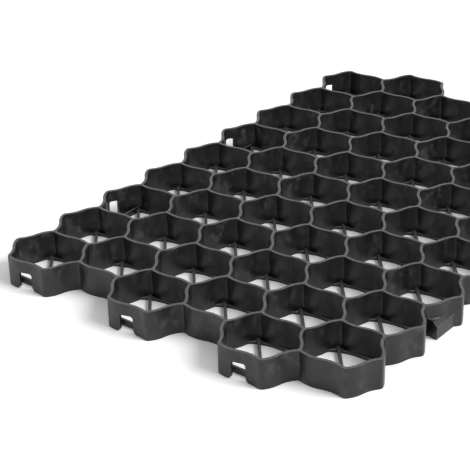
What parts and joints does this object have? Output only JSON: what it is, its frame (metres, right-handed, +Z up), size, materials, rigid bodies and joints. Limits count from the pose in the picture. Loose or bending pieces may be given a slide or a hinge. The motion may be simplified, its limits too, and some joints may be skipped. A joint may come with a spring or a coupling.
{
  "type": "gravel grid panel",
  "caption": "Flat honeycomb panel of black plastic with wavy cell walls, open cells with a low cross rib, and hooks and notches on its edges that join it to the next panel.",
  "frame": {"origin": "middle of the underside", "axes": "+X along the long side towards the hooked end, +Y towards the notched long side, +Z up"},
  "size_m": [0.6, 0.3988, 0.03],
  "materials": {
    "plastic": "as moulded, slightly satin"
  },
  "bodies": {
    "root": {"grid_panel": "plastic"}
  },
  "joints": []
}
